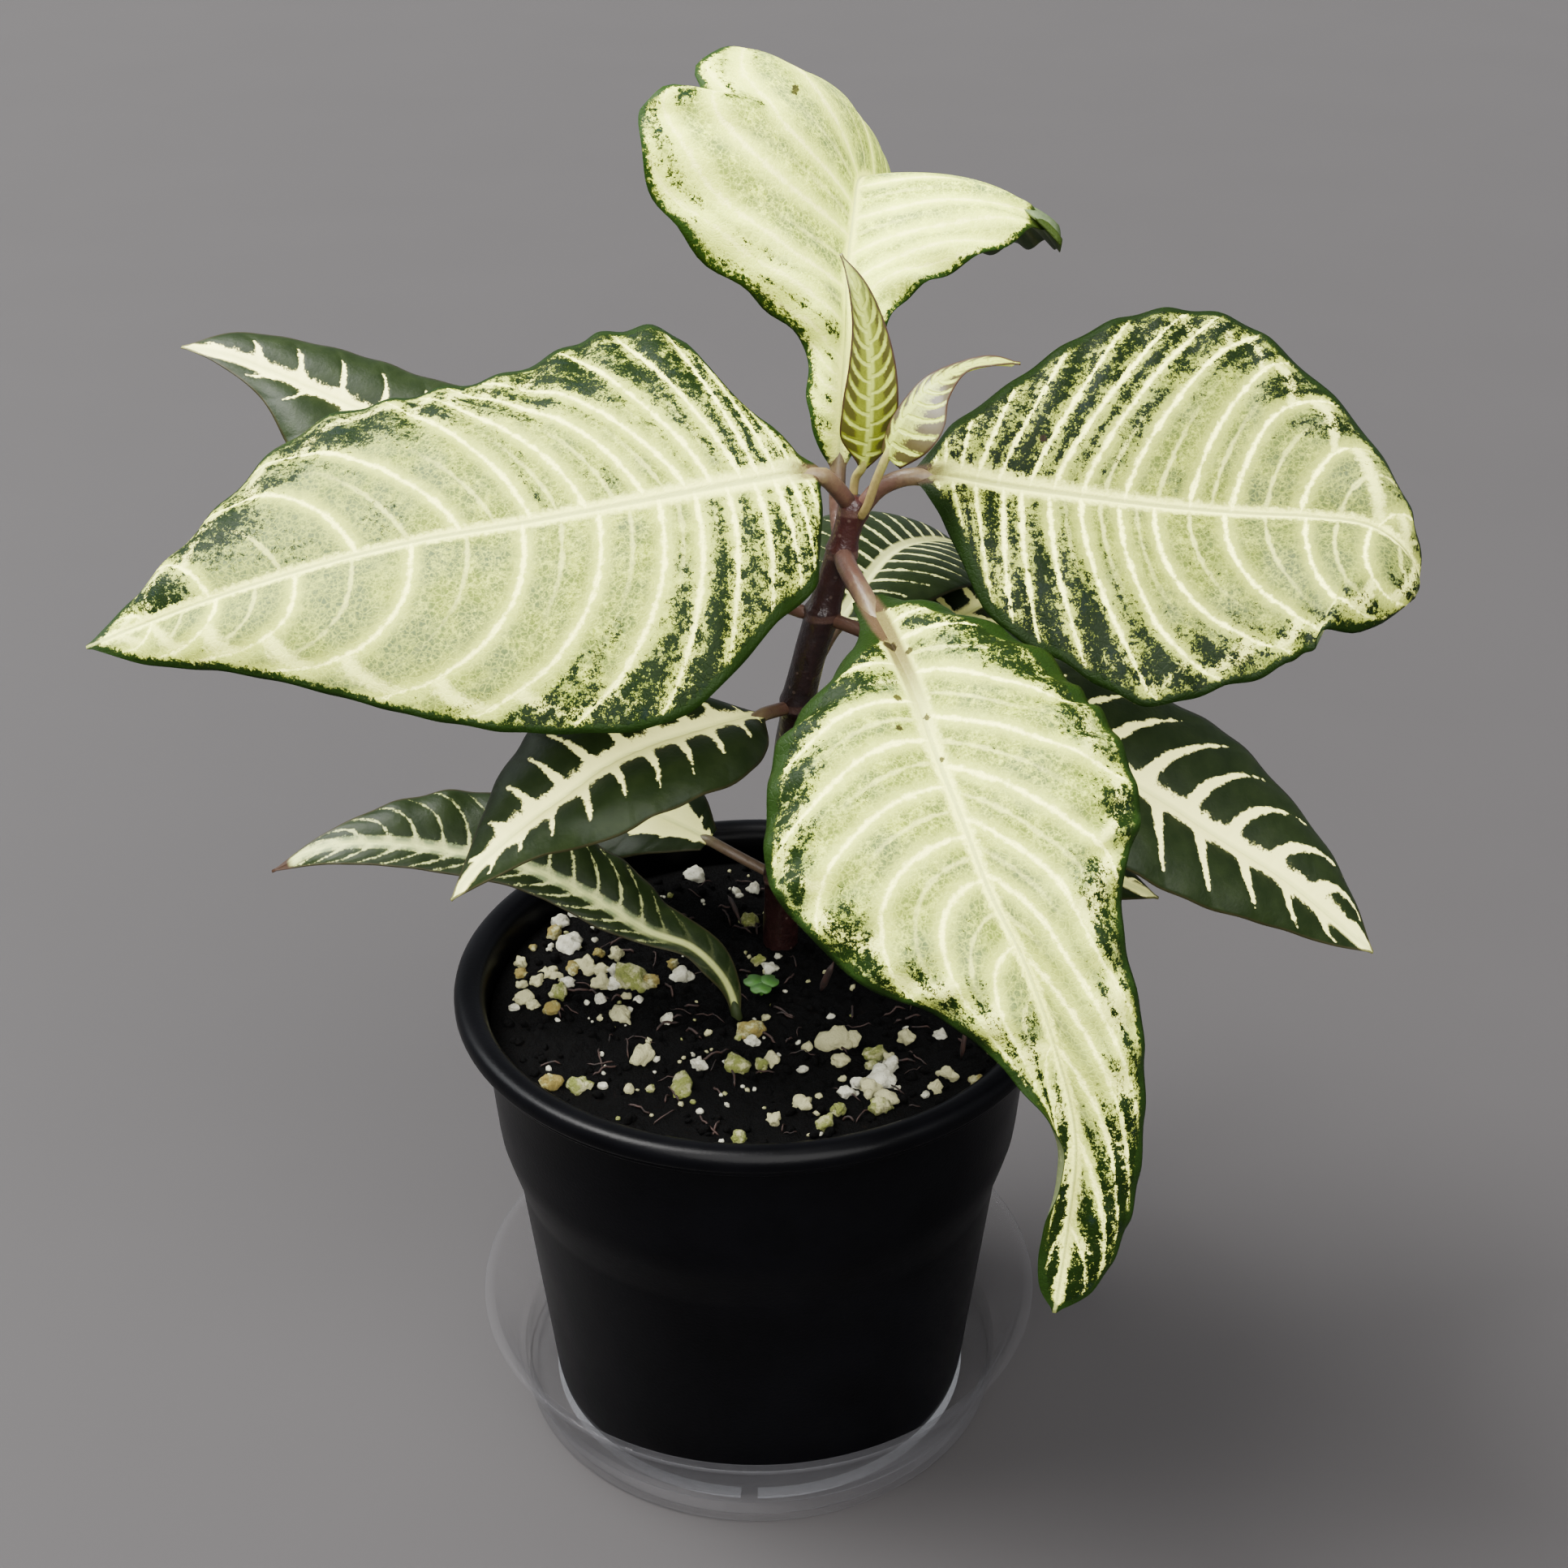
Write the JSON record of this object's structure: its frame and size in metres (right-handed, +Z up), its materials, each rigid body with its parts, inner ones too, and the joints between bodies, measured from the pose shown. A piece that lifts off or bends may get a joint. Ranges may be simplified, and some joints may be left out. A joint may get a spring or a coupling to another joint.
{
  "type": "potted zebra plant",
  "caption": "Leafy plant with striped variegated leaves on one dark stem, rooted in a round black nursery pot that stands on a clear saucer.",
  "frame": {"origin": "centre of the saucer's underside, on the pot's axis and on the surface that the saucer stands on", "axes": "+Z up along the pot's axis, -Y towards the picture's viewer, +X to the viewer's right"},
  "size_m": [0.2345, 0.1967, 0.2683],
  "materials": {
    "pot_plastic": "satin black",
    "saucer_plastic": "clear, glossy",
    "soil": "loose peat with pale perlite grains, matt",
    "stem": "smooth young bark, satin",
    "pale_leaf": "cream blade with green margins and flecks, satin",
    "dark_leaf": "dark green blade with cream veins, satin",
    "young_leaf": "yellow-green with brown patches, satin",
    "seedling": "matt green"
  },
  "bodies": {
    "root": {"pot": "pot_plastic", "saucer": "saucer_plastic", "soil": "soil", "stem": "stem", "leaf_left": "pale_leaf", "leaf_right": "pale_leaf", "leaf_back": "pale_leaf", "leaf_front": "pale_leaf", "leaf_upper_left": "dark_leaf", "leaf_lower_right": "dark_leaf", "leaf_lower_left": "dark_leaf", "leaf_back_right": "dark_leaf", "leaf_back_low": "dark_leaf", "leaf_low_back_left": "dark_leaf", "leaf_low_left": "dark_leaf", "leaf_low_right": "dark_leaf", "young_leaf_upright": "young_leaf", "young_leaf_arching": "young_leaf", "seedling": "seedling"}
  },
  "joints": []
}
